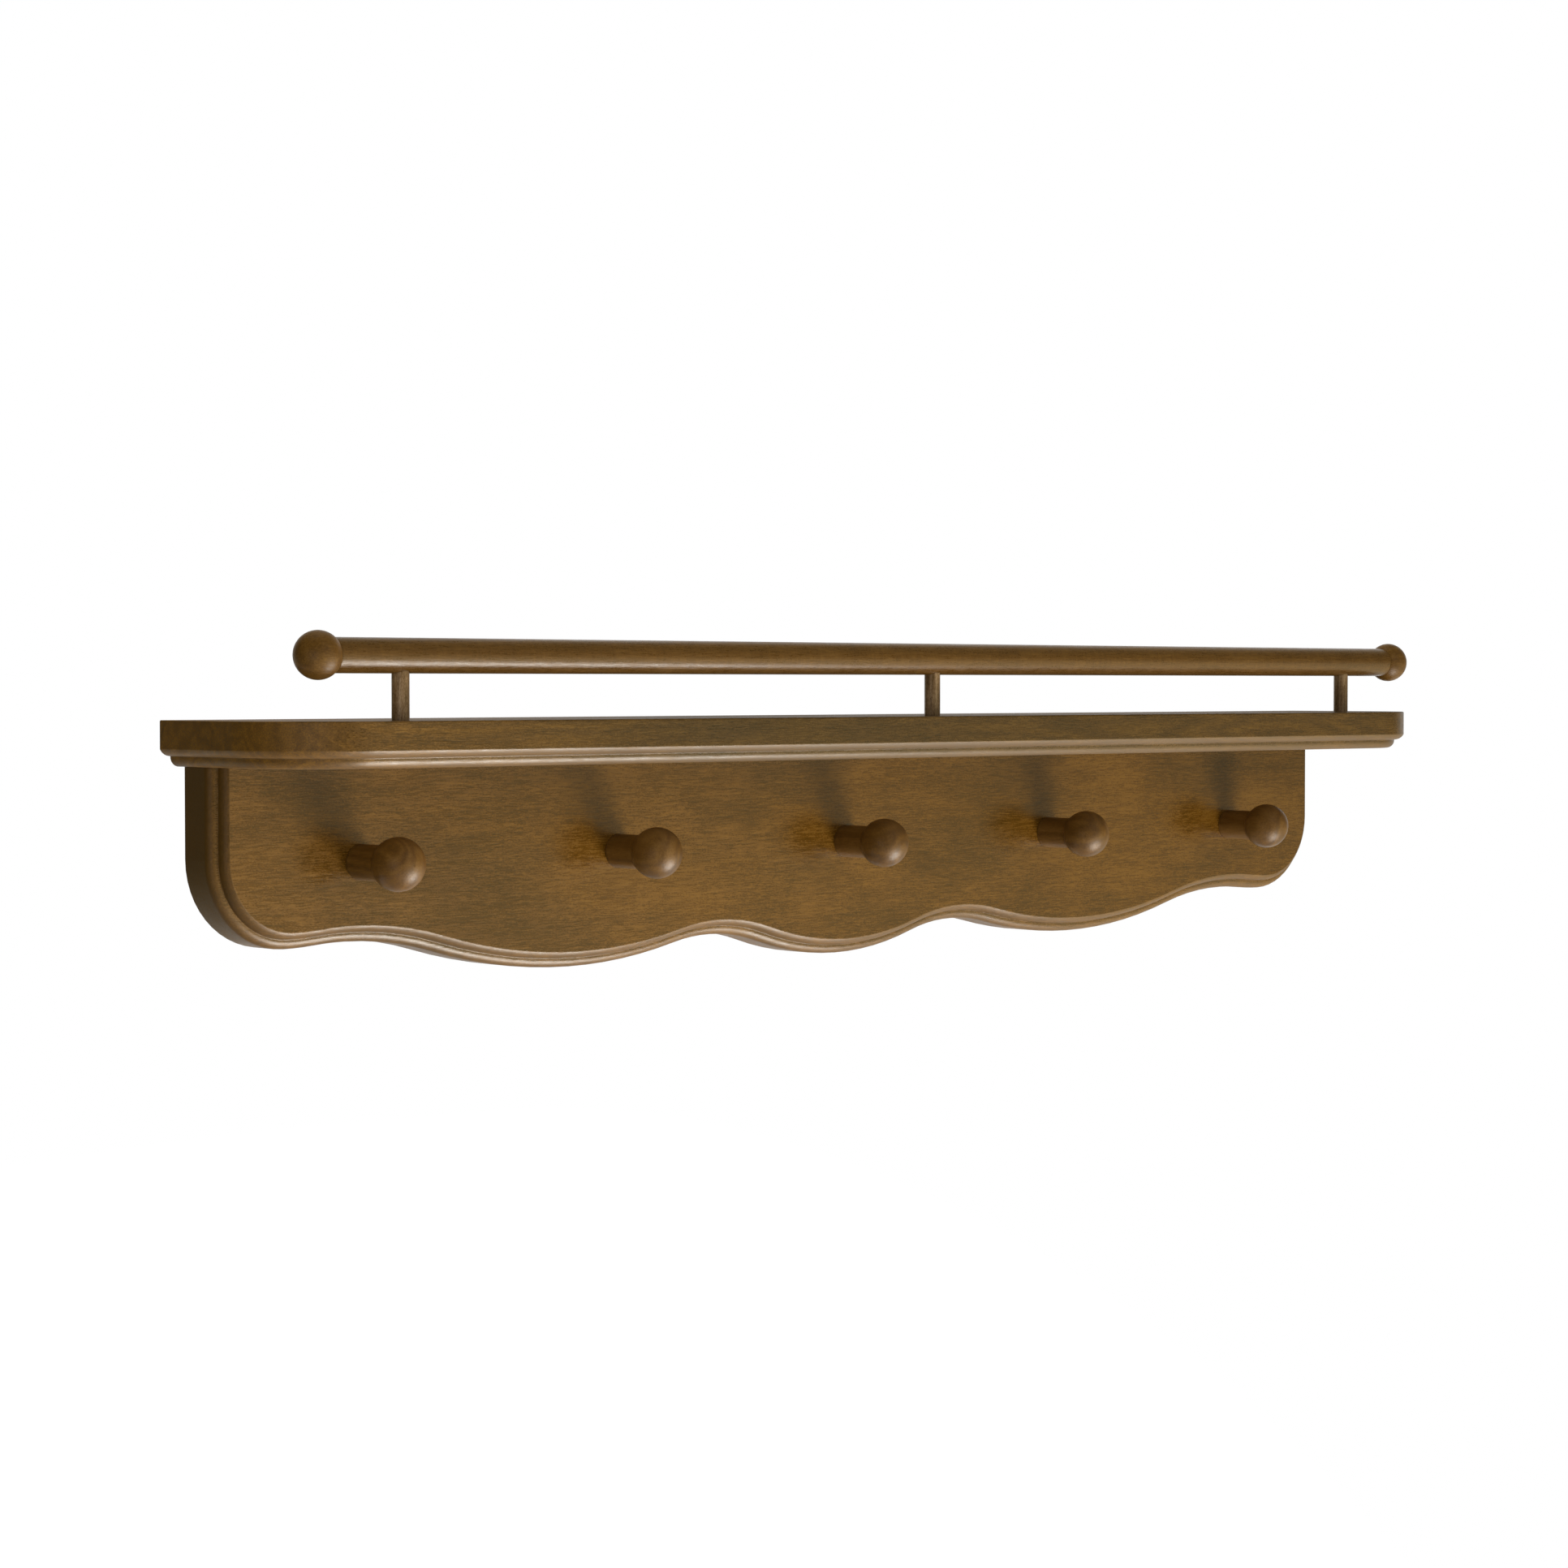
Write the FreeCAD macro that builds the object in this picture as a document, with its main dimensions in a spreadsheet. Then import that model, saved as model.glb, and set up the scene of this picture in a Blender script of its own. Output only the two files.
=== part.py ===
import FreeCAD, Part
import math
import os
import types

import Sketcher

# Wall shelf with a gallery rail on top and five turned pegs below.
# X runs along the shelf, the wall is the plane Y = 0, the front faces -Y and Z is up.
# The origin lies on the wall plane, midway between the round entries of the two keyholes.

# Lengths in millimetres. A share is a part of the length that its name follows.
SIZES = {
    # shelf board
    "shelf_length": 965,
    "shelf_depth": 126,
    "shelf_thickness": 25,
    "shelf_corner_radius": 58,
    "shelf_arris_radius": 0.8,
    # back board, hanging below the shelf
    "board_length": 934,
    "board_thickness": 29,
    "board_height": 100,
    "board_corner_radius": 50,
    # scalloped lower edge: depths are measured down from the board's lower corners,
    # places are shares of the way from the middle to the corner
    "centre_lobe_depth": 24,
    "side_lobe_depth": 20.6,
    "inner_rise_depth": 7.2,
    "outer_rise_height": 2.1,
    "inner_rise_place_share": 0.252,
    "side_lobe_place_share": 0.518,
    "outer_rise_place_share": 0.902,
    "centre_lobe_arc_share": 0.63,
    "side_lobe_inner_arc_share": 0.73,
    "side_lobe_outer_arc_share": 0.63,
    "corner_arc_share": 0.5,
    # mouldings: a bulging slope, a sharp quirk and a quarter round
    "shelf_slope_run": 5.9,
    "shelf_slope_drop": 3.7,
    "shelf_slope_radius": 7,
    "shelf_round_run": 4.9,
    "shelf_round_rise": 5.1,
    "shelf_round_radius": 5.3,
    "board_slope_run": 5.2,
    "board_slope_drop": 3.7,
    "board_slope_radius": 6.2,
    "board_round_run": 4.4,
    "board_round_rise": 4.9,
    "board_round_radius": 5,
    "quirk": 0.6,
    # gallery rail, its ball ends and its posts
    "rail_diameter": 19,
    "rail_height": 34.3,
    "rail_setback": 21.6,
    "rail_shoulder": 4,
    "rail_tenon_length": 13,
    "finial_overhang": 3.5,
    "finial_inset": 28.5,
    "post_diameter": 9.6,
    "post_inset": 81.5,
    "post_bore_web": 10,
    "rail_bore_depth_share": 0.42,
    # pegs
    "peg_end_inset": 95,
    "peg_drop": 53.7,
    "peg_shaft_diameter": 20,
    "peg_ball_overhang": 5,
    "peg_reach": 34.3,
    "peg_shoulder": 3,
    "peg_bore_web": 11,
    # hidden dowels between the back board and the shelf
    "dowel_diameter": 8,
    "dowel_end_inset": 67,
    "dowel_bore_web": 10,
    "dowel_board_depth": 25,
    # keyhole hangers let into the back of the board
    "hanger_spacing": 406.4,
    "hanger_top_margin": 8.5,
    "hanger_thickness": 2,
    "hanger_ledge": 3,
    "hanger_land": 3.5,
    "hanger_end_land": 1.85,
    "keyhole_entry_diameter": 9.5,
    "keyhole_slot_width": 5,
    "keyhole_slot_length": 11,
    "head_room_margin": 1.25,
    "head_room_depth": 7,
    # countersunk wood screws that hold the hangers
    "screw_shank_diameter": 3.2,
    "screw_sink_web": 0.4,
    "screw_length": 10,
    "screw_point_length": 3,
    # fits
    "glue_gap": 0.1,
    "hanger_gap": 0.2,
    "overrun": 5,
}

PEG_NAMES = ("peg_far_left", "peg_left", "peg_middle", "peg_right", "peg_far_right")
SIDES = {"left": -1, "right": 1}
DOWEL_COUNT = 6
MOULD_SIZES = ("slope_run", "slope_drop", "slope_radius", "round_run", "round_rise", "round_radius")


class Size:
    """A value and the sheet formula that it comes from."""

    def __init__(self, value, formula):
        self.value = value
        self.formula = formula

    def __add__(self, other):
        return Size(self.value + other.value, f"({self.formula} + {other.formula})")

    def __sub__(self, other):
        return Size(self.value - other.value, f"({self.formula} - {other.formula})")

    def __neg__(self):
        return Size(-self.value, f"(-1 * {self.formula})")

    def __mul__(self, factor):
        factor = as_size(factor)
        return Size(self.value * factor.value, f"({self.formula} * {factor.formula})")

    def __truediv__(self, divisor):
        divisor = as_size(divisor)
        return Size(self.value / divisor.value, f"({self.formula} / {divisor.formula})")


def as_size(number):
    """Let a plain factor stand beside sizes."""
    return number if isinstance(number, Size) else Size(number, str(number))


def root(square):
    return Size(math.sqrt(square.value), f"sqrt({square.formula})")


ZERO = Size(0, "0")
ONE = Size(1, "1")

doc = FreeCAD.newDocument("wall_shelf")
sheet = doc.addObject("Spreadsheet::Sheet", "Sizes")
for row, (alias, number) in enumerate(SIZES.items(), start=1):
    sheet.set(f"A{row}", alias)
    sheet.set(f"B{row}", str(number))
    sheet.setAlias(f"B{row}", alias)
doc.recompute()
sizes = {alias: Size(float(sheet.get(alias)), f"Sizes.{alias}") for alias in SIZES}
size = types.SimpleNamespace(**sizes)

# Sizes of the hangers and their screws, which follow the keyhole
entry_radius = size.keyhole_entry_diameter / 2
head_room_width = size.keyhole_entry_diameter + size.head_room_margin * 2
hanger_width = head_room_width + size.hanger_ledge * 2
screw_radius = size.screw_shank_diameter / 2
screw_head_depth = size.hanger_thickness - size.screw_sink_web
screw_head_radius = screw_radius + screw_head_depth
screw_reach = entry_radius + size.hanger_land + screw_head_radius
hanger_reach = screw_reach + screw_head_radius + size.hanger_end_land
hanger_x = size.hanger_spacing / 2

# Places that several pieces share
shelf_underside = size.hanger_top_margin + hanger_reach + size.keyhole_slot_length
shelf_top = shelf_underside + size.shelf_thickness
shelf_end = size.shelf_length / 2
board_end = size.board_length / 2
board_middle_y = -size.board_thickness / 2
rail_y = size.rail_setback - size.shelf_depth
rail_z = shelf_top + size.rail_height
rail_radius = size.rail_diameter / 2
rail_tenon_radius = rail_radius - size.rail_shoulder
rail_bore_depth = size.rail_diameter * size.rail_bore_depth_share
finial_x = shelf_end - size.finial_inset
finial_radius = rail_radius + size.finial_overhang
finial_seat = root(finial_radius * finial_radius - rail_radius * rail_radius)
post_x = shelf_end - size.post_inset
post_radius = size.post_diameter / 2
post_bore_depth = size.shelf_thickness - size.post_bore_web
peg_z = shelf_underside - size.peg_drop
peg_shaft_radius = size.peg_shaft_diameter / 2
peg_tenon_radius = peg_shaft_radius - size.peg_shoulder
peg_tenon_length = size.board_thickness - size.peg_bore_web
dowel_radius = size.dowel_diameter / 2
dowel_shelf_depth = size.shelf_thickness - size.dowel_bore_web


def new_body(label):
    body = doc.addObject("PartDesign::Body", label)
    body.Label = label
    return body


def place(item, x=ZERO, y=ZERO, z=ZERO):
    """Set a sub-part's position and bind it to the sheet."""
    item.Placement.Base = FreeCAD.Vector(x.value, y.value, z.value)
    for axis, distance in (("x", x), ("y", y), ("z", z)):
        item.setExpression(f"Placement.Base.{axis}", distance.formula)


def new_sketch(body, name, plane, offset=ZERO):
    """Start a sketch on one of the body's own planes, moved along the plane's normal."""
    sketch = body.newObject("Sketcher::SketchObject", name)
    support = next(item for item in body.Origin.OriginFeatures if item.Role == plane)
    sketch.AttachmentSupport = [(support, "")]
    sketch.MapMode = "FlatFace"
    sketch.AttachmentOffset.Base.z = offset.value
    sketch.setExpression("AttachmentOffset.Base.z", offset.formula)
    return sketch


def bind(sketch, constraints):
    """Add constraints in one go. Those that carry a size are bound to its formula."""
    indices = sketch.addConstraint([constraint for constraint, formula in constraints])
    for index, (constraint, formula) in zip(indices, constraints):
        if formula:
            sketch.setExpression(f"Constraints[{index}]", formula)


def hold_point(edge, vertex, point):
    """Constraints that keep one vertex at a point given as two sizes."""
    held = []
    for kind, axis, distance in (("DistanceX", -2, point[0]), ("DistanceY", -1, point[1])):
        if distance is ZERO:
            held.append((Sketcher.Constraint("PointOnObject", edge, vertex, axis), None))
        elif distance.value < 0:
            constraint = Sketcher.Constraint(kind, edge, vertex, -1, 1, -distance.value)
            held.append((constraint, (-distance).formula))
        else:
            constraint = Sketcher.Constraint(kind, -1, 1, edge, vertex, distance.value)
            held.append((constraint, distance.formula))
    return held


def vector(point):
    return FreeCAD.Vector(point[0].value, point[1].value, 0)


def arc_between(start, end, radius, turn):
    """The short arc from start to end, turning left when turn is 1 and right when it is -1."""
    chord = end - start
    height = math.sqrt(max(radius * radius - chord.Length * chord.Length / 4, 0))
    across = FreeCAD.Vector(-chord.y, chord.x, 0).normalize()
    centre = (start + end) / 2 + across * height * turn
    first, last = (start, end) if turn > 0 else (end, start)
    angles = [math.atan2(point.y - centre.y, point.x - centre.x) for point in (first, last)]
    circle = Part.Circle(centre, FreeCAD.Vector(0, 0, 1), radius)
    return Part.ArcOfCircle(circle, angles[0], angles[1])


def draw_outline(sketch, start, steps, closed=True):
    """Draw lines and arcs end to end. A step is (end,) for a line or (end, radius, turn) for an arc."""
    geometry = []
    vertices = []
    here = start
    for end, *bend in steps:
        if bend:
            radius, turn = bend
            geometry.append(arc_between(vector(here), vector(end), radius.value, turn))
            vertices.append((1, 2) if turn > 0 else (2, 1))
        else:
            geometry.append(Part.LineSegment(vector(here), vector(end)))
            vertices.append((1, 2))
        here = end
    edges = sketch.addGeometry(geometry)
    constraints = []
    if not closed:
        constraints += hold_point(edges[0], vertices[0][0], start)
    for number, (edge, (first, last), (end, *bend)) in enumerate(zip(edges, vertices, steps)):
        constraints += hold_point(edge, last, end)
        if bend:
            constraints.append((Sketcher.Constraint("Radius", edge, bend[0].value), bend[0].formula))
        if number or closed:
            before = number - 1
            meeting = Sketcher.Constraint("Coincident", edges[before], vertices[before][1], edge, first)
            constraints.append((meeting, None))
    bind(sketch, constraints)


def draw_circles(sketch, centres, radius):
    upright = FreeCAD.Vector(0, 0, 1)
    edges = sketch.addGeometry([Part.Circle(vector(centre), upright, radius.value) for centre in centres])
    constraints = []
    for edge, centre in zip(edges, centres):
        constraints += hold_point(edge, 3, centre)
        constraints.append((Sketcher.Constraint("Radius", edge, radius.value), radius.formula))
    bind(sketch, constraints)


def pad(body, name, sketch, length):
    feature = body.newObject("PartDesign::Pad", name)
    feature.Profile = sketch
    feature.Length = length.value
    feature.setExpression("Length", length.formula)
    doc.recompute()
    return feature


def pocket(body, name, sketch, depth, inwards=True):
    """Cut a sketch against its plane's normal, or along the normal when inwards is false."""
    feature = body.newObject("PartDesign::Pocket", name)
    feature.Profile = sketch
    feature.Length = depth.value
    feature.setExpression("Length", depth.formula)
    feature.Reversed = not inwards
    doc.recompute()
    return feature


def sweep_cut(body, name, profile, path):
    feature = body.newObject("PartDesign::SubtractivePipe", name)
    feature.Profile = profile
    feature.Spine = (path, [])
    feature.Mode = "Frenet"
    doc.recompute()
    return feature


def round_edges(body, name, base, radius, wanted):
    """Fillet the edges of a feature that the test picks out by their middle point."""
    picked = []
    for number, edge in enumerate(base.Shape.Edges, start=1):
        middle = edge.valueAt((edge.FirstParameter + edge.LastParameter) / 2)
        if wanted(middle):
            picked.append(f"Edge{number}")
    feature = body.newObject("PartDesign::Fillet", name)
    feature.Base = (base, picked)
    feature.Radius = radius.value
    feature.setExpression("Radius", radius.formula)
    doc.recompute()
    return feature


def revolve(body, name, axis, start, steps):
    """Turn a closed half outline round one of the sketch's axes."""
    sketch = new_sketch(body, f"{name}_profile", "XY_Plane")
    draw_outline(sketch, start, steps)
    feature = body.newObject("PartDesign::Revolution", name)
    feature.Profile = sketch
    feature.ReferenceAxis = (sketch, [axis])
    doc.recompute()
    return feature


def mould_steps(board, spot, bend):
    """The cutter's outline. A spot is a run behind the face and a rise in from the edge of a board."""
    mould = types.SimpleNamespace(**{name: sizes[f"{board}_{name}"] for name in MOULD_SIZES})
    quirk_end = mould.slope_run + size.quirk
    quirk_top = mould.round_rise + size.quirk
    run = quirk_end + mould.round_run
    rise = quirk_top + mould.slope_drop
    return spot(ZERO, rise), [
        (spot(mould.slope_run, quirk_top), mould.slope_radius, bend),
        (spot(quirk_end, quirk_top),),
        (spot(quirk_end, mould.round_rise),),
        (spot(run, ZERO), mould.round_radius, bend),
        (spot(run, -size.overrun),),
        (spot(-size.overrun, -size.overrun),),
        (spot(-size.overrun, rise),),
        (spot(ZERO, rise),),
    ]


def shelf_edge(back):
    """The shelf's left end, front and right end in plan, from the back and round to it again."""
    corner_x = shelf_end - size.shelf_corner_radius
    corner_y = size.shelf_corner_radius - size.shelf_depth
    return (-shelf_end, back), [
        ((-shelf_end, corner_y),),
        ((-corner_x, -size.shelf_depth), size.shelf_corner_radius, 1),
        ((corner_x, -size.shelf_depth),),
        ((shelf_end, corner_y), size.shelf_corner_radius, 1),
        ((shelf_end, back),),
    ]


def swing(low, high, lobe_share):
    """Two tangent arcs between a low and a high point of the lower edge: their meeting point and radii."""
    across = high[0] - low[0]
    climb = high[1] - low[1]
    both = (across * across + climb * climb) / (climb * 2)
    meeting = (low[0] + across * lobe_share, low[1] + climb * lobe_share)
    return meeting, both * lobe_share, both * (ONE - lobe_share)


def board_edge(top):
    """The board's left side, scalloped lower edge and right side, seen from the front."""
    corner_z = shelf_underside - size.board_height
    corner_x = board_end - size.board_corner_radius
    side_top = corner_z + size.board_corner_radius
    lobes_and_rises = [
        (ZERO, corner_z - size.centre_lobe_depth),
        (corner_x * size.inner_rise_place_share, corner_z - size.inner_rise_depth),
        (corner_x * size.side_lobe_place_share, corner_z - size.side_lobe_depth),
        (corner_x * size.outer_rise_place_share, corner_z + size.outer_rise_height),
        (corner_x, corner_z),
    ]
    arc_shares = [
        size.centre_lobe_arc_share,
        size.side_lobe_inner_arc_share,
        size.side_lobe_outer_arc_share,
        size.corner_arc_share,
    ]
    mirrored = [(-x, z) for x, z in lobes_and_rises[:0:-1]]
    points = mirrored + lobes_and_rises
    shares = arc_shares[::-1] + arc_shares
    steps = [((-board_end, side_top),), (points[0], size.board_corner_radius, 1)]
    for number, share in enumerate(shares):
        here = points[number]
        there = points[number + 1]
        if number % 2 == 0:
            meeting, lobe_radius, rise_radius = swing(here, there, share)
            steps += [(meeting, lobe_radius, 1), (there, rise_radius, -1)]
        else:
            meeting, lobe_radius, rise_radius = swing(there, here, share)
            steps += [(meeting, rise_radius, -1), (there, lobe_radius, 1)]
    steps += [((board_end, side_top), size.board_corner_radius, 1), ((board_end, top),)]
    return (-board_end, top), steps


def spread(count, end):
    """Distances along X, evenly spaced from one end through the middle to the other."""
    shares = [2 * number / (count - 1) - 1 for number in range(count)]
    return [end * share if share else ZERO for share in shares]


def peg_places():
    return [(x, peg_z) for x in spread(len(PEG_NAMES), board_end - size.peg_end_inset)]


def dowel_places():
    return [(x, board_middle_y) for x in spread(DOWEL_COUNT, board_end - size.dowel_end_inset)]


def screw_places():
    """Centres of one hanger's screws, below the entry and above the slot."""
    return [(ZERO, -screw_reach), (ZERO, size.keyhole_slot_length + screw_reach)]


def slot_steps(low, high, half_width, x):
    """A round-ended upright slot: its start and the steps round it."""
    return (x - half_width, high), [
        ((x - half_width, low),),
        ((x, low - half_width), half_width, 1),
        ((x + half_width, low), half_width, 1),
        ((x + half_width, high),),
        ((x, high + half_width), half_width, 1),
        ((x - half_width, high), half_width, 1),
    ]


def make_shelf_board():
    """The shelf, moulded round its lower edge, with bores for the posts and the dowels."""
    body = new_body("shelf_board")
    plan = new_sketch(body, "shelf_plan", "XY_Plane")
    start, steps = shelf_edge(ZERO)
    draw_outline(plan, start, steps + [(start,)])
    pad(body, "shelf_block", plan, size.shelf_thickness)

    profile = new_sketch(body, "shelf_mould_profile", "XZ_Plane", -size.overrun)
    draw_outline(profile, *mould_steps("shelf", lambda run, rise: (run - shelf_end, rise), 1))
    path = new_sketch(body, "shelf_mould_path", "XY_Plane")
    draw_outline(path, *shelf_edge(size.overrun), closed=False)
    moulded = sweep_cut(body, "shelf_mould", profile, path)

    top = size.shelf_thickness.value
    near = size.shelf_arris_radius.value / 2
    round_edges(body, "shelf_arris", moulded, size.shelf_arris_radius,
                lambda middle: abs(middle.z - top) < near and middle.y < -near)

    bores = new_sketch(body, "post_bores", "XY_Plane", size.shelf_thickness)
    draw_circles(bores, [(x, rail_y) for x in (-post_x, ZERO, post_x)], post_radius + size.glue_gap)
    pocket(body, "post_bore", bores, post_bore_depth)

    holes = new_sketch(body, "shelf_dowel_holes", "XY_Plane")
    draw_circles(holes, dowel_places(), dowel_radius + size.glue_gap)
    pocket(body, "shelf_dowel_bore", holes, dowel_shelf_depth, inwards=False)
    place(body, z=shelf_underside)
    return body


def make_back_board():
    """The scalloped board that carries the pegs in front and the hangers behind."""
    body = new_body("back_board")
    front = new_sketch(body, "board_front", "XZ_Plane")
    start, steps = board_edge(shelf_underside)
    draw_outline(front, start, steps + [(start,)])
    pad(body, "board_block", front, size.board_thickness)

    top = shelf_underside + size.overrun
    profile = new_sketch(body, "board_mould_profile", "XY_Plane", top)
    face = -size.board_thickness
    draw_outline(profile, *mould_steps("board", lambda run, rise: (rise - board_end, face + run), -1))
    path = new_sketch(body, "board_mould_path", "XZ_Plane")
    draw_outline(path, *board_edge(top), closed=False)
    sweep_cut(body, "board_mould", profile, path)

    bores = new_sketch(body, "peg_bores", "XZ_Plane", size.board_thickness)
    draw_circles(bores, peg_places(), peg_tenon_radius + size.glue_gap)
    pocket(body, "peg_bore", bores, peg_tenon_length)

    holes = new_sketch(body, "board_dowel_holes", "XY_Plane", shelf_underside)
    draw_circles(holes, dowel_places(), dowel_radius + size.glue_gap)
    pocket(body, "board_dowel_bore", holes, size.dowel_board_depth)

    for side, sign in SIDES.items():
        cut_hanger_seat(body, side, hanger_x * sign)
    place(body)
    return body


def cut_hanger_seat(body, side, x):
    """A recess for one hanger, deeper behind the keyhole, with pilot bores for its screws."""
    recess = new_sketch(body, f"hanger_recess_{side}", "XZ_Plane")
    draw_outline(recess, *hanger_outline(x, size.hanger_gap))
    pocket(body, f"hanger_seat_{side}", recess, size.hanger_thickness, inwards=False)
    room = new_sketch(body, f"head_room_{side}", "XZ_Plane")
    draw_outline(room, *slot_steps(ZERO, size.keyhole_slot_length, head_room_width / 2, x))
    pocket(body, f"head_pocket_{side}", room, size.hanger_thickness + size.head_room_depth, inwards=False)
    pilots = new_sketch(body, f"screw_pilots_{side}", "XZ_Plane")
    draw_circles(pilots, [(x, z) for middle, z in screw_places()], screw_radius + size.glue_gap)
    pocket(body, f"screw_pilot_{side}", pilots, size.screw_length, inwards=False)


def hanger_outline(x, gap):
    """The round-ended plate, or its recess, which is wider by the gap."""
    half = hanger_width / 2
    low = half - hanger_reach
    high = size.keyhole_slot_length + hanger_reach - half
    return slot_steps(low, high, half + gap, x)


def make_peg(label, x, z):
    """A turned peg: tenon, straight shaft and ball, glued into its bore up to the shaft's shoulder."""
    body = new_body(label)
    ball = peg_shaft_radius + size.peg_ball_overhang
    neck = size.peg_reach - root(ball * ball - peg_shaft_radius * peg_shaft_radius)
    revolve(body, f"{label}_turning", "V_Axis", (ZERO, peg_tenon_length), [
        ((ZERO, -(size.peg_reach + ball)),),
        ((peg_shaft_radius, -neck), ball, 1),
        ((peg_shaft_radius, ZERO),),
        ((peg_tenon_radius, ZERO),),
        ((peg_tenon_radius, peg_tenon_length),),
        ((ZERO, peg_tenon_length),),
    ])
    place(body, x, -size.board_thickness, z)
    return body


def make_rail():
    """The rail, turned down at both ends for its ball ends and bored from below for the posts."""
    body = new_body("rail")
    shoulder = finial_x - finial_seat
    tip = shoulder + size.rail_tenon_length
    revolve(body, "rail_turning", "H_Axis", (-tip, ZERO), [
        ((tip, ZERO),),
        ((tip, rail_tenon_radius),),
        ((shoulder, rail_tenon_radius),),
        ((shoulder, rail_radius),),
        ((-shoulder, rail_radius),),
        ((-shoulder, rail_tenon_radius),),
        ((-tip, rail_tenon_radius),),
        ((-tip, ZERO),),
    ])
    bores = new_sketch(body, "rail_bores", "XY_Plane", rail_bore_depth - rail_radius)
    draw_circles(bores, [(x, ZERO) for x in (-post_x, ZERO, post_x)], post_radius + size.glue_gap)
    pocket(body, "rail_bore", bores, rail_bore_depth + size.overrun)
    place(body, y=rail_y, z=rail_z)
    return body


def make_finial(side, sign):
    """A ball end with a flat seat as wide as the rail and a bore for the rail's tenon."""
    body = new_body(f"finial_{side}")
    bore = rail_tenon_radius + size.glue_gap
    seat = -finial_seat * sign
    bottom = seat + size.rail_tenon_length * sign
    revolve(body, f"finial_{side}_turning", "H_Axis", (bottom, ZERO), [
        ((finial_radius * sign, ZERO),),
        ((seat, rail_radius), finial_radius, sign),
        ((seat, bore),),
        ((bottom, bore),),
        ((bottom, ZERO),),
    ])
    place(body, finial_x * sign, rail_y, rail_z)
    return body


def make_dowel(label, radius, length):
    """A plain round dowel standing on its end."""
    dowel = doc.addObject("Part::Cylinder", label)
    dowel.Label = label
    dowel.setExpression("Radius", radius.formula)
    dowel.setExpression("Height", length.formula)
    return dowel


def make_post(label, x):
    """A dowel that stands in the shelf and holds the rail up."""
    length = post_bore_depth + size.rail_height - rail_radius + rail_bore_depth
    post = make_dowel(label, post_radius, length)
    place(post, x, rail_y, shelf_top - post_bore_depth)
    return post


def make_group(label, items):
    """Identical separate pieces kept as one sub-part."""
    group = doc.addObject("Part::Compound", label)
    group.Label = label
    group.Links = items
    place(group)
    return group


def make_shelf_dowels():
    """The hidden dowels that stand in the back board and reach up into the shelf."""
    length = size.dowel_board_depth + dowel_shelf_depth
    dowels = []
    for number, (x, y) in enumerate(dowel_places(), start=1):
        dowel = make_dowel(f"dowel_{number}", dowel_radius, length)
        place(dowel, x, y, shelf_underside - size.dowel_board_depth)
        dowels.append(dowel)
    return make_group("shelf_dowels", dowels)


def make_hanger(side, sign):
    """A steel keyhole plate, flush with the back of the board: round entry below, slot above."""
    body = new_body(f"keyhole_hanger_{side}")
    through = size.hanger_thickness + size.overrun
    plate = new_sketch(body, f"plate_{side}", "XZ_Plane")
    draw_outline(plate, *hanger_outline(ZERO, ZERO))
    pad(body, f"plate_blank_{side}", plate, size.hanger_thickness)

    entry = new_sketch(body, f"entry_{side}", "XZ_Plane")
    draw_circles(entry, [(ZERO, ZERO)], entry_radius)
    pocket(body, f"keyhole_entry_{side}", entry, through, inwards=False)
    slot = new_sketch(body, f"slot_{side}", "XZ_Plane")
    draw_outline(slot, *slot_steps(ZERO, size.keyhole_slot_length, size.keyhole_slot_width / 2, ZERO))
    pocket(body, f"keyhole_slot_{side}", slot, through, inwards=False)

    holes = new_sketch(body, f"plate_holes_{side}", "XZ_Plane")
    draw_circles(holes, screw_places(), screw_radius + size.glue_gap)
    pierced = pocket(body, f"plate_hole_{side}", holes, through, inwards=False)
    sink_holes(body, f"plate_sink_{side}", pierced)
    place(body, x=hanger_x * sign)
    return body


def sink_holes(body, name, base):
    """Countersink the screw holes where they open on the wall plane."""
    reach = screw_radius.value + size.glue_gap.value
    picked = []
    for number, edge in enumerate(base.Shape.Edges, start=1):
        middle = edge.valueAt((edge.FirstParameter + edge.LastParameter) / 2)
        away = [math.hypot(middle.x - x.value, middle.z - z.value) for x, z in screw_places()]
        if abs(middle.y) < size.glue_gap.value and min(away) < reach + size.glue_gap.value:
            picked.append(f"Edge{number}")
    feature = body.newObject("PartDesign::Chamfer", name)
    feature.Base = (base, picked)
    feature.Size = screw_head_depth.value
    feature.setExpression("Size", screw_head_depth.formula)
    doc.recompute()


def make_screws():
    """The countersunk screws of the hangers, heads flush with the wall plane."""
    screws = []
    for side, sign in SIDES.items():
        for level, (middle, z) in zip(("lower", "upper"), screw_places()):
            body = new_body(f"screw_{side}_{level}")
            revolve(body, f"screw_{side}_{level}_turning", "V_Axis", (ZERO, ZERO), [
                ((ZERO, -size.screw_length),),
                ((screw_radius, size.screw_point_length - size.screw_length),),
                ((screw_radius, -screw_head_depth),),
                ((screw_head_radius, ZERO),),
                ((ZERO, ZERO),),
            ])
            place(body, hanger_x * sign, ZERO, z)
            screws.append(body)
    return make_group("hanger_screws", screws)


nodes = [make_shelf_board(), make_back_board()]
nodes += [make_peg(name, x, z) for name, (x, z) in zip(PEG_NAMES, peg_places())]
nodes.append(make_rail())
nodes += [make_finial(side, sign) for side, sign in SIDES.items()]
nodes += [make_post("post_left", -post_x), make_post("post_middle", ZERO), make_post("post_right", post_x)]
nodes.append(make_shelf_dowels())
nodes += [make_hanger(side, sign) for side, sign in SIDES.items()]
nodes.append(make_screws())
doc.recompute()

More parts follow.
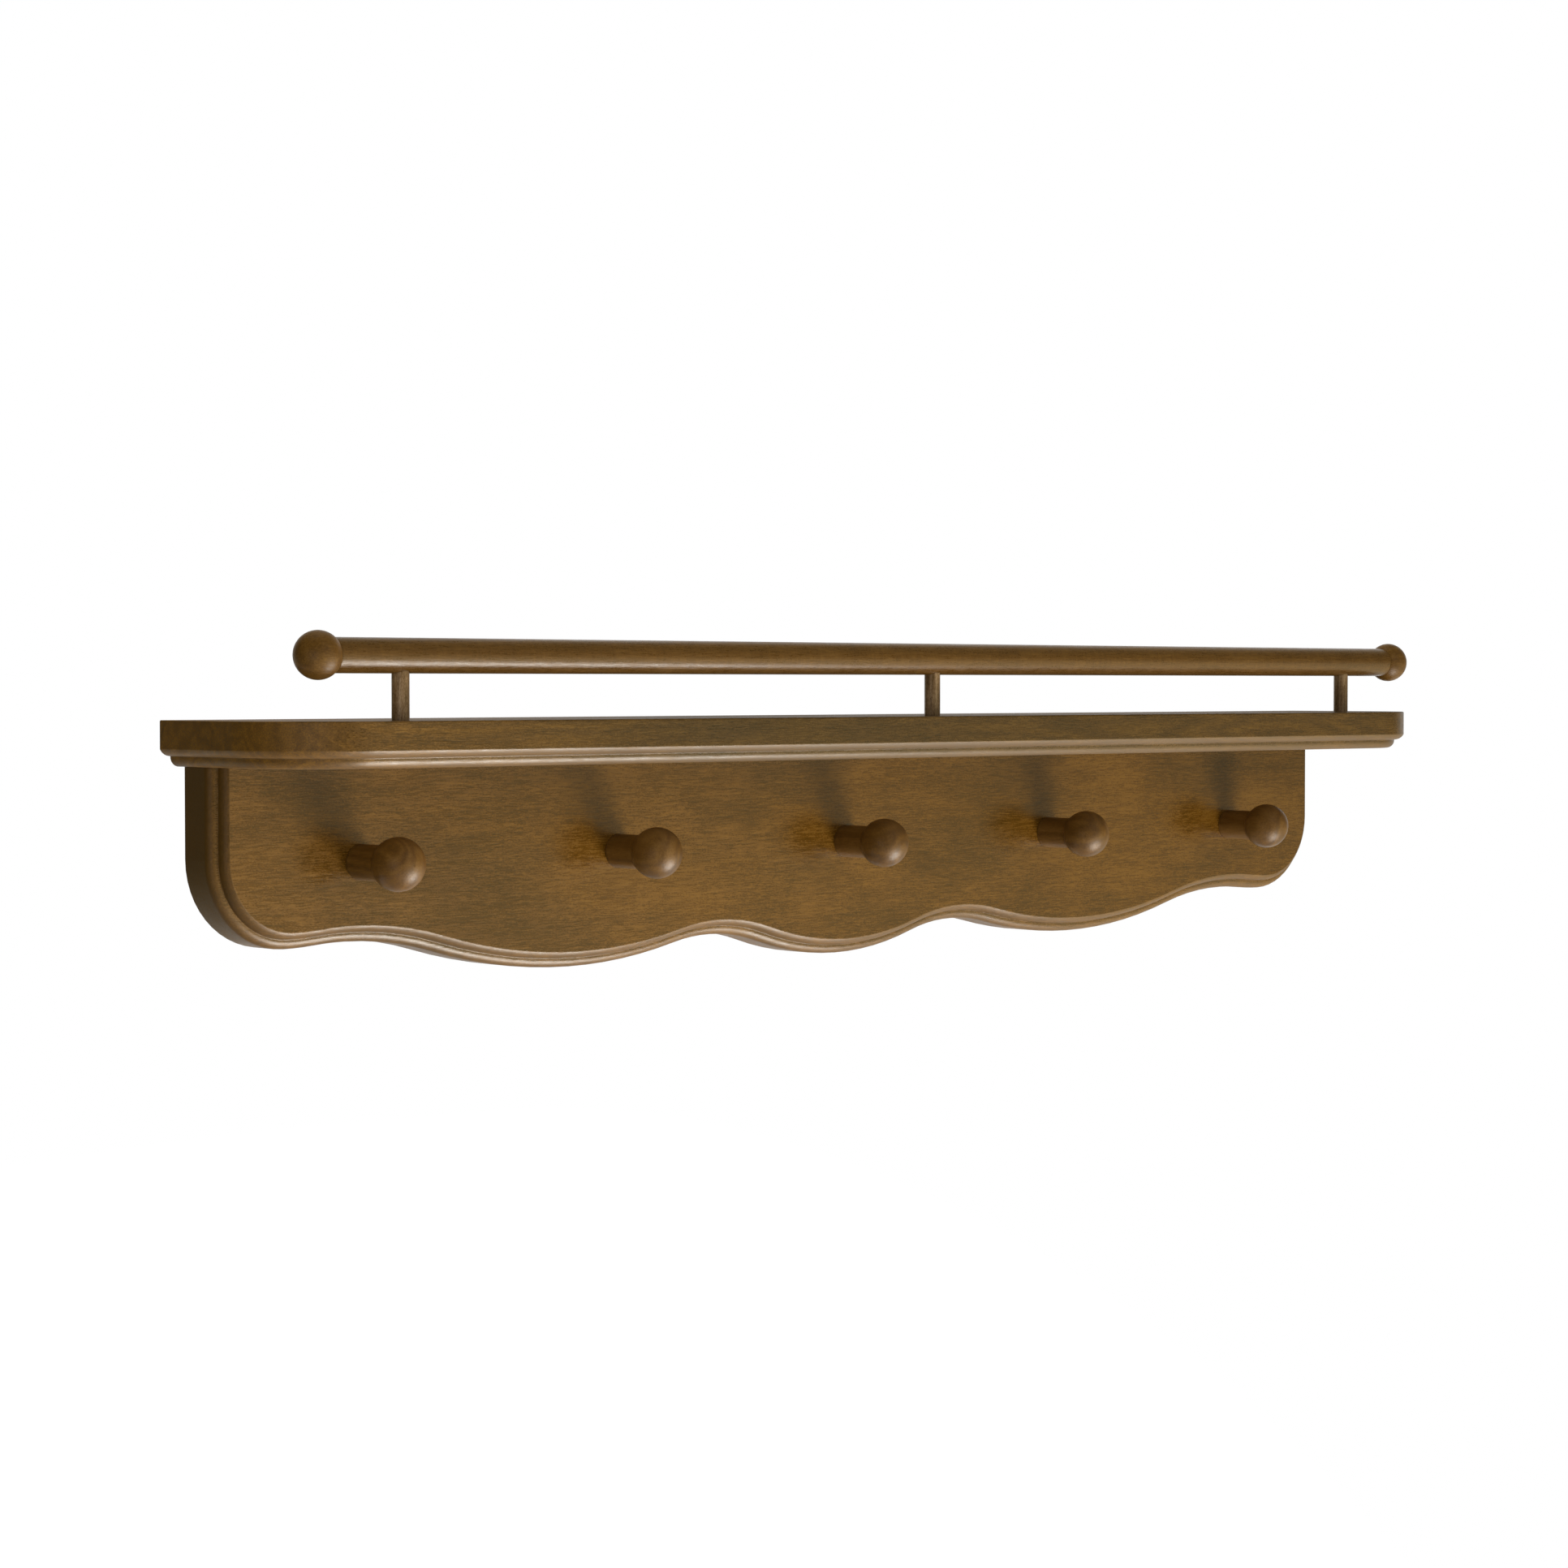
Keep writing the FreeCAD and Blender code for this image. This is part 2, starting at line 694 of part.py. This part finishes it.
for item in doc.Objects:
    if {"Invalid", "Error"} & set(item.State):
        raise RuntimeError(f"{item.Label} did not compute: {item.State}")
    if item.isDerivedFrom("PartDesign::FeatureSubtractive") or item.TypeId == "PartDesign::Pocket":
        if item.Shape.Volume >= item.BaseFeature.Shape.Volume:
            raise RuntimeError(f"{item.Label} cuts nothing")
for node in nodes:
    if node.Shape.isNull() or not node.Shape.isValid():
        raise RuntimeError(f"{node.Label} has no valid shape")

os.makedirs("parts", exist_ok=True)
for node in nodes:
    node.Shape.exportStep(f"parts/{node.Label}.step")
    print(node.Label, len(node.Shape.Solids), "solids", round(node.Shape.Volume), "mm3")
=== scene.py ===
import math

import bpy
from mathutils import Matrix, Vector

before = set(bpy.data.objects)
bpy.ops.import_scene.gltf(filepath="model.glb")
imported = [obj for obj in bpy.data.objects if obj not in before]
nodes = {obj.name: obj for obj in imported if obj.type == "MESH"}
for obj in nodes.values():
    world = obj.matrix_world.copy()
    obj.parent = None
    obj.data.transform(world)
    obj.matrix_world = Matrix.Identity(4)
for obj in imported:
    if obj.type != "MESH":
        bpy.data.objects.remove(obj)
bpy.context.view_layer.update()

print("frame loaded:", len(nodes), "pieces")


# small helpers for node trees

def makeNode(tree, kind, inputs=None, **settings):
    node = tree.nodes.new(kind)
    for name, value in settings.items():
        setattr(node, name, value)
    for name, value in (inputs or {}).items():
        feed(tree, value, node.inputs[name])
    return node


def feed(tree, value, target):
    # a socket is linked, anything else is set as the target's own value
    if isinstance(value, bpy.types.NodeSocket):
        tree.links.new(value, target)
    else:
        target.default_value = value


def math2(tree, operation, first, second=0.0, clamp=False):
    node = makeNode(tree, "ShaderNodeMath", {0: first, 1: second}, operation=operation, use_clamp=clamp)
    return node.outputs[0]


def times(tree, first, *others):
    for other in others:
        first = math2(tree, "MULTIPLY", first, other)
    return first


def vector2(tree, operation, first, second):
    return makeNode(tree, "ShaderNodeVectorMath", {0: first, 1: second}, operation=operation).outputs


def mixColour(tree, factor, first, second, blend="MIX"):
    node = makeNode(tree, "ShaderNodeMix", data_type="RGBA", blend_type=blend)
    for socket, value in (("Factor_Float", factor), ("A_Color", first), ("B_Color", second)):
        feed(tree, value, next(s for s in node.inputs if s.identifier == socket))
    return next(s for s in node.outputs if s.identifier == "Result_Color")


def newGroup(name, inputs, outputs):
    group = bpy.data.node_groups.new(name, "ShaderNodeTree")
    for way, sockets in (("INPUT", inputs), ("OUTPUT", outputs)):
        for kind, labels in sockets.items():
            for label in labels:
                group.interface.new_socket(label, in_out=way, socket_type="NodeSocket" + kind)
    given = group.nodes.new("NodeGroupInput").outputs
    return group, given, group.nodes.new("NodeGroupOutput").inputs


def noise(tree, vector, stretch, scale, detail=2.0, roughness=0.5, distortion=0.0):
    # noise whose features run along X: stretch is how much longer they are than wide
    squeezed = vector2(tree, "MULTIPLY", vector, (1 / stretch, 1, 1))[0]
    texture = makeNode(tree, "ShaderNodeTexNoise", {
        "Vector": squeezed, "Scale": scale, "Detail": detail,
        "Roughness": roughness, "Distortion": distortion})
    return texture.outputs["Fac"]


def spread(tree, value, low, high):
    node = makeNode(tree, "ShaderNodeMapRange", {
        "Value": value, "From Min": low, "From Max": high}, clamp=True)
    return node.outputs["Result"]


def easeBetween(tree, value, low, high, first, last):
    node = makeNode(tree, "ShaderNodeMapRange", {
        "Value": value, "From Min": low, "From Max": high, "To Min": first, "To Max": last},
        interpolation_type="SMOOTHSTEP", clamp=True)
    return node.outputs["Result"]


# stained wood: growth figure, fibres, pores and the blotches of a wiped stain, all running along X

grainSizes = {  # length for width, scale, detail, roughness and distortion of each noise
    "fibre": (10.0, 1400.0, 2.0, 0.6), "finer": (2.2, 1900.0, 1.0, 0.5), "streak": (18.0, 760.0, 3.0, 0.6),
    "blotch": (3.0, 60.0, 4.0, 0.6, 0.3), "broad": (2.0, 15.0, 2.0, 0.5), "pore": (16.0, 1500.0, 1.0, 0.4),
    "rings": (9.0, 34.0, 2.0, 0.45)}
grainRanges = {  # the part of each noise that is spread from 0 to 1
    "fibre": (0.28, 0.72), "finer": (0.26, 0.74), "streak": (0.28, 0.72), "blotch": (0.25, 0.75),
    "clouds": (0.3, 0.7), "golden": (0.4, 0.7), "pore": (0.6, 0.72)}
grainShine = {"fibre": 0.17, "finer": 0.08, "streak": 0.1, "blotch": 0.12}  # share in the roughness
grainBend = {"scale": 9.0, "detail": 2.0, "reach": (0.0, 0.003, 0.003)}  # how the fibres wander, metres
crossGrain = {"squeeze": (1, 0.06, 0.06), "scale": 420.0, "detail": 2.0}
ringCount = 62.0
fibreHeight = 0.6
poreDepth = 0.8


def makeGrainGroup():
    group, given, put = newGroup("stainedGrain", {
        "Vector": ["Vector"],
        "Color": ["Dark", "Mid", "Light", "Gold"],
        "Float": ["Figure", "Fibre", "Streak", "Blotch", "Pores", "Cross", "Sheen"],
    }, {"Color": ["Color"], "Float": ["Roughness", "Height"]})

    wander = makeNode(group, "ShaderNodeTexNoise", {
        "Vector": given["Vector"], "Scale": grainBend["scale"], "Detail": grainBend["detail"]})
    centred = vector2(group, "SUBTRACT", wander.outputs["Color"], (0.5, 0.5, 0.5))[0]
    small = vector2(group, "MULTIPLY", centred, grainBend["reach"])[0]
    bent = vector2(group, "ADD", given["Vector"], small)[0]

    def layer(name):
        return spread(group, noise(group, bent, *grainSizes[name]), *grainRanges[name])

    def lean(value, amount):
        return times(group, math2(group, "SUBTRACT", value, 0.5), amount)

    layers = {name: layer(name) for name in ("fibre", "finer", "streak", "blotch")}
    broad = noise(group, given["Vector"], *grainSizes["broad"])
    clouds = spread(group, broad, *grainRanges["clouds"])
    pore = noise(group, bent, *grainSizes["pore"])
    weave = vector2(group, "MULTIPLY", given["Vector"], crossGrain["squeeze"])[0]
    cross = makeNode(group, "ShaderNodeTexNoise", {
        "Vector": weave, "Scale": crossGrain["scale"], "Detail": crossGrain["detail"]}).outputs["Fac"]
    rings = noise(group, bent, *grainSizes["rings"])
    ringWave = math2(group, "SINE", times(group, rings, ringCount))

    tone = 0.5
    for value, amount in ((layers["fibre"], "Fibre"), (layers["finer"], "Fibre"), (layers["streak"], "Streak"),
                          (layers["blotch"], "Blotch"), (clouds, "Blotch"), (cross, "Cross")):
        tone = math2(group, "ADD", tone, lean(value, given[amount]))
    tone = math2(group, "ADD", tone, times(group, ringWave, times(group, given["Figure"], 0.5)))

    # dark below the middle tone, light above it
    golden = times(group, spread(group, broad, *grainRanges["golden"]), given["Blotch"])
    middle = mixColour(group, golden, given["Mid"], given["Gold"])
    lower = math2(group, "MULTIPLY", tone, 2.0, True)
    upper = math2(group, "SUBTRACT", times(group, tone, 2.0), 1.0, True)
    colour = mixColour(group, lower, given["Dark"], middle)
    colour = mixColour(group, upper, colour, given["Light"])
    poreMask = times(group, spread(group, pore, *grainRanges["pore"]), given["Pores"])
    colour = mixColour(group, poreMask, colour, given["Dark"])

    # the lighter fibres scatter the shine more
    rough = given["Sheen"]
    for name, amount in grainShine.items():
        rough = math2(group, "ADD", rough, lean(layers[name], amount))
    raised = times(group, layers["fibre"], fibreHeight)
    height = math2(group, "SUBTRACT", raised, times(group, poreMask, poreDepth))
    group.links.new(colour, put["Color"])
    group.links.new(rough, put["Roughness"])
    group.links.new(height, put["Height"])
    return group


# rubbed arrises, and painted shade that darkens the corners and quirks

wearAndCornerShade = {"bevelSamples": 6, "bend": (0.004, 0.06), "hollowSamples": 8, "hollow": (0.75, 0.25),
        "patch": (3.0, 180.0, 3.0), "worn": (0.3, 0.6), "reach": 0.0012}


def makeEdgeGroup():
    group, given, put = newGroup("rubbedEdgesAndCornerShade", {
        "Vector": ["Vector"], "Float": ["Radius", "Reach"],
    }, {"Float": ["Rubbed", "PaintedCornerShade"], "Vector": ["Normal"]})
    bevel = makeNode(group, "ShaderNodeBevel", {"Radius": given["Radius"]}, samples=wearAndCornerShade["bevelSamples"])
    geometry = makeNode(group, "ShaderNodeNewGeometry")
    facing = vector2(group, "DOT_PRODUCT", bevel.outputs[0], geometry.outputs["Normal"])["Value"]
    turned = spread(group, math2(group, "SUBTRACT", 1.0, facing), *wearAndCornerShade["bend"])
    # painted shade: occlusion darkens the corners and quirks
    hollow = makeNode(group, "ShaderNodeAmbientOcclusion", {"Distance": given["Reach"]},
                      samples=wearAndCornerShade["hollowSamples"])
    corner = spread(group, hollow.outputs["AO"], *wearAndCornerShade["hollow"])
    exposed = math2(group, "SUBTRACT", 1.0, corner, True)
    patchy = spread(group, noise(group, given["Vector"], *wearAndCornerShade["patch"]), *wearAndCornerShade["worn"])
    group.links.new(times(group, turned, exposed, patchy), put["Rubbed"])
    group.links.new(corner, put["PaintedCornerShade"])
    group.links.new(bevel.outputs[0], put["Normal"])
    return group


grainGroup = makeGrainGroup()
edgeGroup = makeEdgeGroup()
print("node groups made")


def newMaterial(name):
    material = bpy.data.materials.new(name)
    material.use_nodes = True
    return material, material.node_tree, material.node_tree.nodes["Principled BSDF"]


def placeEdges(tree, vector, radius):
    return makeNode(tree, "ShaderNodeGroup", {
        "Vector": vector, "Radius": radius, "Reach": wearAndCornerShade["reach"]}, node_tree=edgeGroup).outputs


def dress(material, names):
    for name in names:
        slots = nodes[name].data.materials
        if not slots:
            slots.append(material)
        for index in range(len(slots)):
            slots[index] = material


# directions of the grain, as turns of the pattern
alongX = (0.0, 0.0, 0.0)
alongY = (0.0, 0.0, math.radians(-90))
alongZ = (0.0, math.radians(90), 0.0)

# what picks out the down-facing moulding that is painted lighter: ranges of the normal's Z, and of its X
# without the sign
mouldFacing = {"below": (-0.1, -0.5), "underside": (-0.995, -0.96), "front": (0.5, 0.1)}
flatFront = 4.0  # power that keeps the smooth finish to faces that look straight to the front or back


def stainedWood(name, look):
    material, tree, shader = newMaterial(name)
    tones = look["tones"]
    place = makeNode(tree, "ShaderNodeTexCoord").outputs["Object"]
    turned = makeNode(tree, "ShaderNodeMapping", {
        "Vector": place, "Rotation": look["grain"], "Location": look["offset"]}).outputs[0]
    grain = makeNode(tree, "ShaderNodeGroup", node_tree=grainGroup)
    tree.links.new(turned, grain.inputs["Vector"])
    for socket in ("Dark", "Mid", "Light", "Gold"):
        grain.inputs[socket].default_value = tones[socket.lower()]
    for socket in ("Figure", "Fibre", "Streak", "Blotch", "Pores", "Cross", "Sheen"):
        grain.inputs[socket].default_value = look[socket.lower()]
    edges = placeEdges(tree, turned, look["arris"])
    normal = makeNode(tree, "ShaderNodeNewGeometry").outputs["Normal"]
    facing = makeNode(tree, "ShaderNodeSeparateXYZ", {0: normal}).outputs

    # faces turned to the ends are darker: end grain drinks more stain, and this is also painted shade on the
    # sides and slopes turned away from the light
    endGrain = math2(tree, "ABSOLUTE", facing["X"])
    colour = mixColour(tree, times(tree, endGrain, look["endStainAndShade"]), grain.outputs["Color"], tones["dark"])
    # painted light falloff: the left end, where more light falls, is painted paler, the middle darker, and the
    # colour lightens a little again towards the right end
    if "litLeftEnd" in look:
        along = makeNode(tree, "ShaderNodeSeparateXYZ", {0: place}).outputs["X"]
        relitRight = times(tree, spread(tree, along, *look["relitRightEnd"]), look["relitRight"])
        falloffShade = math2(tree, "SUBTRACT", spread(tree, along, *look["litLeftEnd"]), relitRight)
        colour = mixColour(tree, falloffShade, colour, tones["falloffShade"], "MULTIPLY")
    # painted light: the down-facing moulding of the front is painted paler where the light from below falls on
    # it, its ends and the flat underside are not
    if look["mould"]:
        moulded = times(tree, spread(tree, facing["Z"], *mouldFacing["below"]),
                        spread(tree, facing["Z"], *mouldFacing["underside"]),
                        spread(tree, endGrain, *mouldFacing["front"]), look["mould"])
        colour = mixColour(tree, moulded, colour, tones["wornAndLitColour"])
    # painted shade darkens the corners and quirks
    colour = mixColour(tree, times(tree, edges["PaintedCornerShade"], look["cornerShadeAmount"]), colour, tones["corner"])
    colour = mixColour(tree, times(tree, edges["Rubbed"], look["rub"]), colour, tones["wornAndLitColour"])

    # moulded edges are less smooth than the flat front
    ahead = math2(tree, "POWER", math2(tree, "ABSOLUTE", facing["Y"]), flatFront)
    turnedAway = math2(tree, "SUBTRACT", 1.0, ahead)
    rough = math2(tree, "ADD", grain.outputs["Roughness"], times(tree, turnedAway, look["edgeRough"]))
    bump = makeNode(tree, "ShaderNodeBump", {
        "Height": grain.outputs["Height"], "Normal": edges["Normal"],
        "Strength": look["bump"], "Distance": look["depth"]})
    tree.links.new(colour, shader.inputs["Base Color"])
    tree.links.new(rough, shader.inputs["Roughness"])
    tree.links.new(bump.outputs[0], shader.inputs["Normal"])
    shader.inputs["Specular IOR Level"].default_value = look["gloss"]
    shader.inputs["Specular Tint"].default_value = look["amber"]
    shader.inputs["Coat Weight"].default_value = look["coat"]
    shader.inputs["Coat Roughness"].default_value = look["coatRough"]
    return material


# colours of the walnut stain, linear
stain = {
    "dark": (0.062, 0.030, 0.003, 1),
    "mid": (0.110, 0.050, 0.005, 1),
    "light": (0.186, 0.088, 0.010, 1),
    "gold": (0.134, 0.054, 0.003, 1),
    # worn wood, and the painted light on the down-facing moulding
    "wornAndLitColour": (0.34, 0.20, 0.08, 1),
    # colour of the painted shade in the corners
    "corner": (0.018, 0.008, 0.002, 1),
}

boardLook = {
    "tones": stain, "grain": alongX, "offset": (0.3, 0.4, 0.02),
    "figure": 0.1, "fibre": 0.62, "streak": 0.42, "blotch": 0.36, "pores": 0.0, "cross": 0.15,
    # the painted light of the moulding, the painted shade of the corners, and the darker ends (part end grain,
    # part painted shade) are set here
    "sheen": 0.28, "edgeRough": 0.28, "mould": 0.14, "arris": 0.001, "cornerShadeAmount": 0.6, "rub": 0.5,
    "bump": 0.15, "depth": 0.0004, "endStainAndShade": 0.8, "gloss": 0.6, "amber": (1.0, 0.97, 0.92, 1),
    "coat": 0.05, "coatRough": 0.3,
}
dress(stainedWood("boardStain", boardLook), ["back_board"])

shelfLook = {
    **boardLook,
    "tones": {**stain, "dark": (0.062, 0.030, 0.004, 1), "mid": (0.132, 0.060, 0.006, 1),
              # the last colour darkens the shelf for its painted light falloff
              "light": (0.235, 0.112, 0.012, 1), "falloffShade": (0.48, 0.52, 0.6, 1)},
    "offset": (0.3, 0.1, 0.2), "figure": 0.22, "fibre": 0.5, "streak": 0.22, "blotch": 0.14,
    "endStainAndShade": 0.0, "gloss": 0.7, "edgeRough": 0.32, "mould": 0.18,
    # painted light falloff along the shelf: paler at the left end, darker in the middle, a little paler again
    # to the right
    "litLeftEnd": (-0.47, -0.2), "relitRightEnd": (-0.08, 0.3), "relitRight": 0.25,
}
dress(stainedWood("shelfStain", shelfLook), ["shelf_board"])

railLook = {
    **boardLook,
    "tones": {**stain, "dark": (0.066, 0.032, 0.006, 1), "mid": (0.116, 0.055, 0.010, 1),
              "light": (0.195, 0.100, 0.020, 1)},
    "offset": (0.7, 0.2, 0.0), "figure": 0.06, "fibre": 0.3, "streak": 0.25, "blotch": 0.15, "cross": 0.4,
    "rub": 0.2, "endStainAndShade": 0.0, "sheen": 0.33, "edgeRough": 0.0, "mould": 0.0, "gloss": 0.5,
}
dress(stainedWood("railStain", railLook), ["rail"])

ballLook = {
    **railLook,
    "offset": (0.2, 0.6, 0.3), "figure": 0.16, "blotch": 0.3, "cross": 0.2, "sheen": 0.44, "gloss": 0.36,
}
dress(stainedWood("ballStain", ballLook), ["finial_left", "finial_right"])

postLook = {
    **railLook,
    "tones": {**stain, "dark": (0.085, 0.048, 0.018, 1), "mid": (0.210, 0.126, 0.055, 1),
              "light": (0.40, 0.27, 0.15, 1), "gold": (0.18, 0.105, 0.05, 1)},
    "grain": alongZ, "offset": (0.1, 0.9, 0.4), "figure": 0.3, "fibre": 0.4, "streak": 0.7, "pores": 0.2,
}
dress(stainedWood("postStain", postLook), ["post_left", "post_middle", "post_right"])

pegLook = {
    **ballLook,
    "tones": {**stain, "dark": (0.070, 0.032, 0.007, 1), "mid": (0.132, 0.062, 0.010, 1),
              "light": (0.205, 0.104, 0.022, 1), "gold": (0.130, 0.052, 0.008, 1)},
    "grain": alongY, "offset": (0.5, 0.3, 0.8), "figure": 0.3, "blotch": 0.5, "gloss": 0.52,
}
dress(stainedWood("pegStain", pegLook), [name for name in nodes if name.startswith("peg_")])

dowelLook = {  # bare wood, hidden in the joint
    **boardLook,
    "tones": {"dark": (0.30, 0.19, 0.09, 1), "mid": (0.46, 0.31, 0.16, 1), "light": (0.58, 0.42, 0.24, 1),
              # the dowel's worn tone, and the colour of its painted corner shade
              "gold": (0.5, 0.33, 0.15, 1), "wornAndLitColour": (0.6, 0.45, 0.3, 1), "corner": (0.2, 0.12, 0.06, 1)},
    "grain": alongZ, "mould": 0.0, "endStainAndShade": 0.0, "rub": 0.0, "cornerShadeAmount": 0.2, "gloss": 0.2, "coat": 0.0,
    "sheen": 0.7,
}
dress(stainedWood("bareDowel", dowelLook), ["shelf_dowels"])
print("wood dressed")


# zinc plated steel, brushed along the plate

def platedSteel(name, look):
    material, tree, shader = newMaterial(name)
    place = makeNode(tree, "ShaderNodeTexCoord").outputs["Object"]
    turned = makeNode(tree, "ShaderNodeMapping", {"Vector": place, "Rotation": alongZ}).outputs[0]
    brushed = noise(tree, turned, *look["brush"])
    clouded = noise(tree, turned, *look["cloud"])
    edges = placeEdges(tree, turned, look["arris"])
    colour = mixColour(tree, clouded, look["dull"], look["bright"])
    # painted shade: occlusion darkens the corners of the steel
    colour = mixColour(tree, edges["PaintedCornerShade"], colour, look["cornerShadeColour"])
    rough = math2(tree, "ADD", times(tree, brushed, look["uneven"]), look["roughness"])
    bump = makeNode(tree, "ShaderNodeBump", {
        "Height": brushed, "Normal": edges["Normal"], "Strength": look["bump"], "Distance": look["depth"]})
    tree.links.new(colour, shader.inputs["Base Color"])
    tree.links.new(rough, shader.inputs["Roughness"])
    tree.links.new(bump.outputs[0], shader.inputs["Normal"])
    shader.inputs["Metallic"].default_value = 1.0
    return material


plateLook = {
    "dull": (0.42, 0.42, 0.40, 1), "bright": (0.62, 0.62, 0.60, 1), "cornerShadeColour": (0.16, 0.14, 0.12, 1),
    "roughness": 0.28, "uneven": 0.2, "brush": (40.0, 3000.0, 2.0), "cloud": (1.0, 260.0, 3.0),
    "arris": 0.0003, "bump": 0.15, "depth": 0.0002,
}
dress(platedSteel("platedHanger", plateLook), ["keyhole_hanger_left", "keyhole_hanger_right"])

screwLook = {**plateLook, "dull": (0.36, 0.35, 0.33, 1), "roughness": 0.22}
dress(platedSteel("platedScrew", screwLook), ["hanger_screws"])
print("steel dressed")

# camera, fitted to the picture: square image, no shift
view = {"place": (-1.4954, -1.5671, 0.0802), "yaw": 43.165, "pitch": 1.663, "lens": 78.95, "sensor": 36.0,
        "farthest": 50.0}
cameraData = bpy.data.cameras.new("viewCamera")
cameraData.lens = view["lens"]
cameraData.sensor_width = view["sensor"]
cameraData.clip_end = view["farthest"]
camera = bpy.data.objects.new("viewCamera", cameraData)
camera.location = view["place"]
camera.rotation_euler = (math.radians(90 - view["pitch"]), 0, math.radians(-view["yaw"]))
bpy.context.scene.collection.objects.link(camera)
bpy.context.scene.camera = camera
print("camera placed")

white = (1, 1, 1, 1)


def seenDirectly(tree):
    path = makeNode(tree, "ShaderNodeLightPath").outputs
    return math2(tree, "MAXIMUM", path["Is Camera Ray"], path["Is Transmission Ray"]), path["Is Glossy Ray"]


# a pale floor well below, which fades into the backdrop away from the object and keeps the shadow below it

floorLook = {"drop": 1.5, "half": 1.8, "colour": (0.86, 0.86, 0.85, 1), "roughness": 0.9,
             "fade": (0.6, 1.6), "whiteNear": 0.7, "whiteMore": 0.3, "mirroredRim": (1.5, 1.8)}


def paleFloor(look):
    half = look["half"]
    corners = [(-half, -half, 0), (half, -half, 0), (half, half, 0), (-half, half, 0)]
    mesh = bpy.data.meshes.new("paleFloor")
    mesh.from_pydata(corners, [], [(0, 1, 2, 3)])
    floor = bpy.data.objects.new("paleFloor", mesh)
    floor.location.z = -look["drop"]
    bpy.context.scene.collection.objects.link(floor)
    material, tree, shader = newMaterial("paleFloor")
    shader.inputs["Base Color"].default_value = look["colour"]
    shader.inputs["Roughness"].default_value = look["roughness"]
    glow = makeNode(tree, "ShaderNodeEmission", {"Color": white, "Strength": 1.0})
    seen, glossy = seenDirectly(tree)
    place = makeNode(tree, "ShaderNodeTexCoord").outputs["Object"]
    away = makeNode(tree, "ShaderNodeVectorMath", {0: place}, operation="LENGTH").outputs["Value"]
    more = times(tree, spread(tree, away, *look["fade"]), look["whiteMore"])
    faded = math2(tree, "ADD", more, look["whiteNear"])
    mirrored = times(tree, glossy, spread(tree, away, *look["mirroredRim"]))
    share = math2(tree, "MAXIMUM", times(tree, seen, faded), mirrored)
    blend = makeNode(tree, "ShaderNodeMixShader", {0: share, 1: shader.outputs[0], 2: glow.outputs[0]})
    tree.links.new(blend.outputs[0], tree.nodes["Material Output"].inputs["Surface"])
    mesh.materials.append(material)


# soft light from all sides, and a warm one below right that shows in the polish

lights = {
    "frontLight": {"place": (0.1, -2.1, 1.0), "aim": (0.0, 0.0, 0.0), "size": (1.8, 1.4), "power": 10.5,
                   "fan": 180, "mirrored": False},
    "leftLight": {"place": (-1.3, -0.75, -0.05), "aim": (-0.3, -0.05, 0.0), "size": (0.7, 0.7), "power": 4.6,
                  "fan": 180, "mirrored": False},
    "lowLight": {"place": (0.40, -0.80, -1.02), "aim": (-0.4, -0.05, 0.0), "size": (0.85, 0.7), "power": 10.2,
                 "fan": 120, "mirrored": True, "colour": (1.0, 0.95, 0.88)},
    "topLight": {"place": (0.0, 0.2, 1.5), "aim": (0.0, 0.05, 0.0), "size": (1.6, 0.6), "power": 7.0,
                 "fan": 120, "mirrored": False},
    "backLight": {"place": (0.5, 1.9, 0.3), "aim": (0.0, 0.0, 0.0), "size": (1.8, 1.2), "power": 11.0,
                  "fan": 180, "mirrored": False},
}


def softbox(name, look):
    data = bpy.data.lights.new(name, "AREA")
    data.shape = "RECTANGLE"
    data.size, data.size_y = look["size"]
    data.energy = look["power"]
    data.color = look.get("colour", white[:3])
    data.spread = math.radians(look["fan"])
    light = bpy.data.objects.new(name, data)
    light.location = look["place"]
    back = Vector(look["place"]) - Vector(look["aim"])
    light.rotation_euler = back.to_track_quat("Z", "Y").to_euler()
    light.visible_glossy = look["mirrored"]
    bpy.context.scene.collection.objects.link(light)


# a room that is brighter on the right and a little below the horizon, behind it a white backdrop

roomLook = {"colour": (1.0, 0.88, 0.55, 1), "sides": (-0.75, 0.75), "left": 0.12, "right": 1.45,
            "lift": 0.45, "levels": (0.15, 0.6), "above": 0.14, "farRight": (0.62, 0.95), "beyond": 0.4,
            "backdrop": (0.68, 0.73, 0.0), "backdropEdge": (0.5, 0.9)}


def whiteRoom(look):
    world = bpy.data.worlds.new("whiteRoom")
    world.use_nodes = True
    tree = world.node_tree
    background = tree.nodes["Background"]
    direction = makeNode(tree, "ShaderNodeTexCoord").outputs["Generated"]
    axes = makeNode(tree, "ShaderNodeSeparateXYZ", {0: direction}).outputs
    sides = easeBetween(tree, axes["X"], *look["sides"], look["left"], look["right"])
    height = math2(tree, "ABSOLUTE", math2(tree, "ADD", axes["Z"], look["lift"]))
    level = easeBetween(tree, height, *look["levels"], 1.0, look["above"])
    beyond = easeBetween(tree, axes["X"], *look["farRight"], 1.0, look["beyond"])
    room = times(tree, sides, level, beyond)
    # the backdrop shows in reflections as well
    seen, glossy = seenDirectly(tree)
    behind = vector2(tree, "DOT_PRODUCT", direction, look["backdrop"])["Value"]
    mirrored = times(tree, glossy, spread(tree, behind, *look["backdropEdge"]))
    shown = math2(tree, "MAXIMUM", seen, mirrored)
    tree.links.new(mixColour(tree, shown, look["colour"], white), background.inputs["Color"])
    tree.links.new(math2(tree, "MAXIMUM", room, shown), background.inputs["Strength"])
    bpy.context.scene.world = world


paleFloor(floorLook)
for name, look in lights.items():
    softbox(name, look)
whiteRoom(roomLook)
bpy.context.scene.view_settings.view_transform = "Standard"
print("studio ready")
